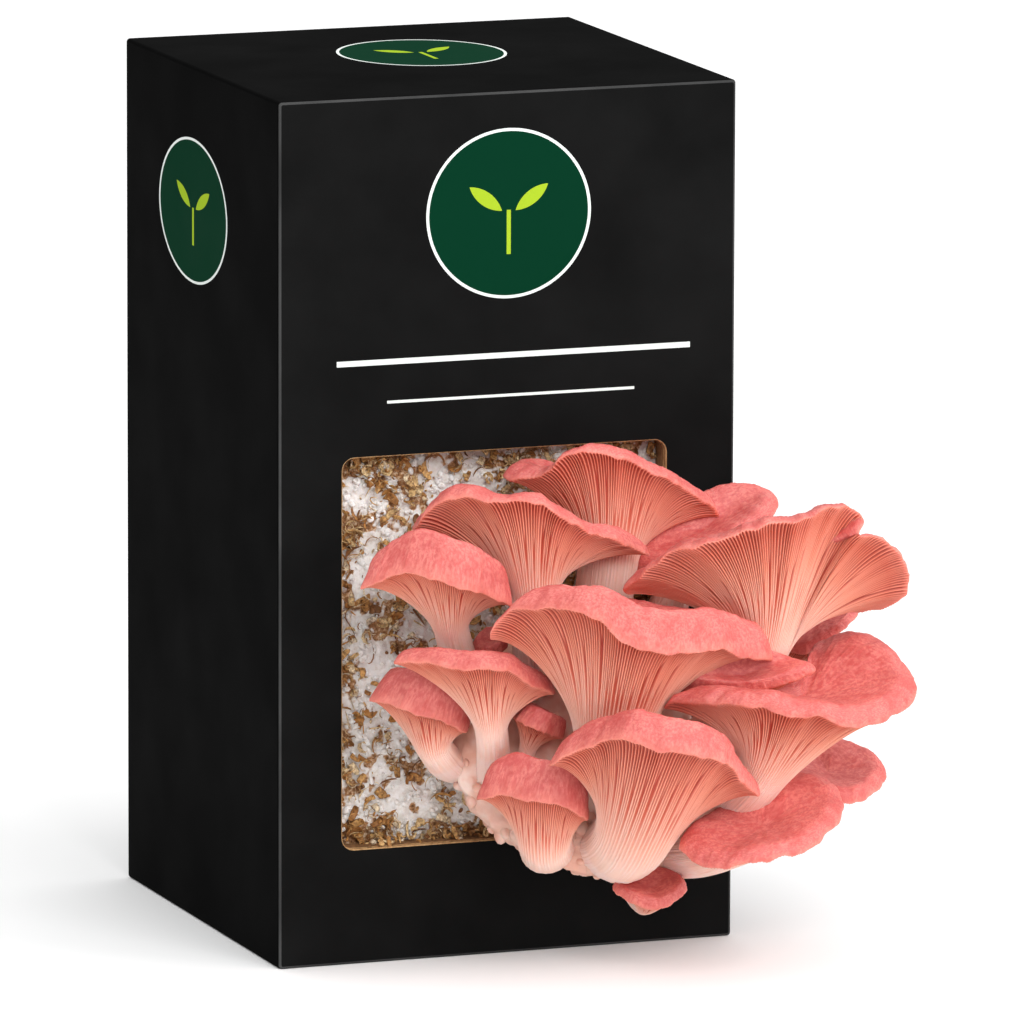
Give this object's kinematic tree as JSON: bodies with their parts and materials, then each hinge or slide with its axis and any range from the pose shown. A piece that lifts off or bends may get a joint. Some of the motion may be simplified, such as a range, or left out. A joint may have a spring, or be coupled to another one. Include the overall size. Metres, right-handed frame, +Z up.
{
  "type": "oyster mushroom grow kit",
  "caption": "Tall closed carton with a cut-out window, a substrate block inside, and a dense cluster of fan-shaped oyster mushrooms growing out of the window.",
  "frame": {"origin": "middle of the carton's base", "axes": "+Z up, -Y out of the window towards the viewer, +X to the viewer's right"},
  "size_m": [0.1967, 0.2351, 0.28],
  "materials": {
    "carton": "black printed and laminated corrugated board, soft satin, with plain green discs in thin pale rings",
    "kraft": "bare brown kraft corrugated board",
    "substrate": "straw and grain husks bound by white mycelium, rough and matte",
    "base": "knobbly pale pink mushroom tissue, soft and slightly moist",
    "mushroom": "coral pink caps with fine fibrils, paler pink gills and cream stems, soft satin"
  },
  "bodies": {
    "root": {"carton": "carton", "kraft_liner": "kraft", "substrate_block": "substrate", "cluster_base": "base", "mushroom_top": "mushroom", "mushroom_upper_left": "mushroom", "mushroom_left": "mushroom", "mushroom_centre": "mushroom", "mushroom_upper_right": "mushroom", "mushroom_right": "mushroom", "mushroom_lower_centre": "mushroom", "mushroom_lower_left": "mushroom", "mushroom_small_left": "mushroom", "mushroom_mid_left": "mushroom", "mushroom_tiny": "mushroom", "mushroom_lower_right": "mushroom", "mushroom_far_right": "mushroom", "mushroom_bottom": "mushroom", "mushroom_back_right": "mushroom", "mushroom_notch": "mushroom", "mushroom_young": "mushroom", "mushroom_far_back": "mushroom"}
  },
  "joints": []
}
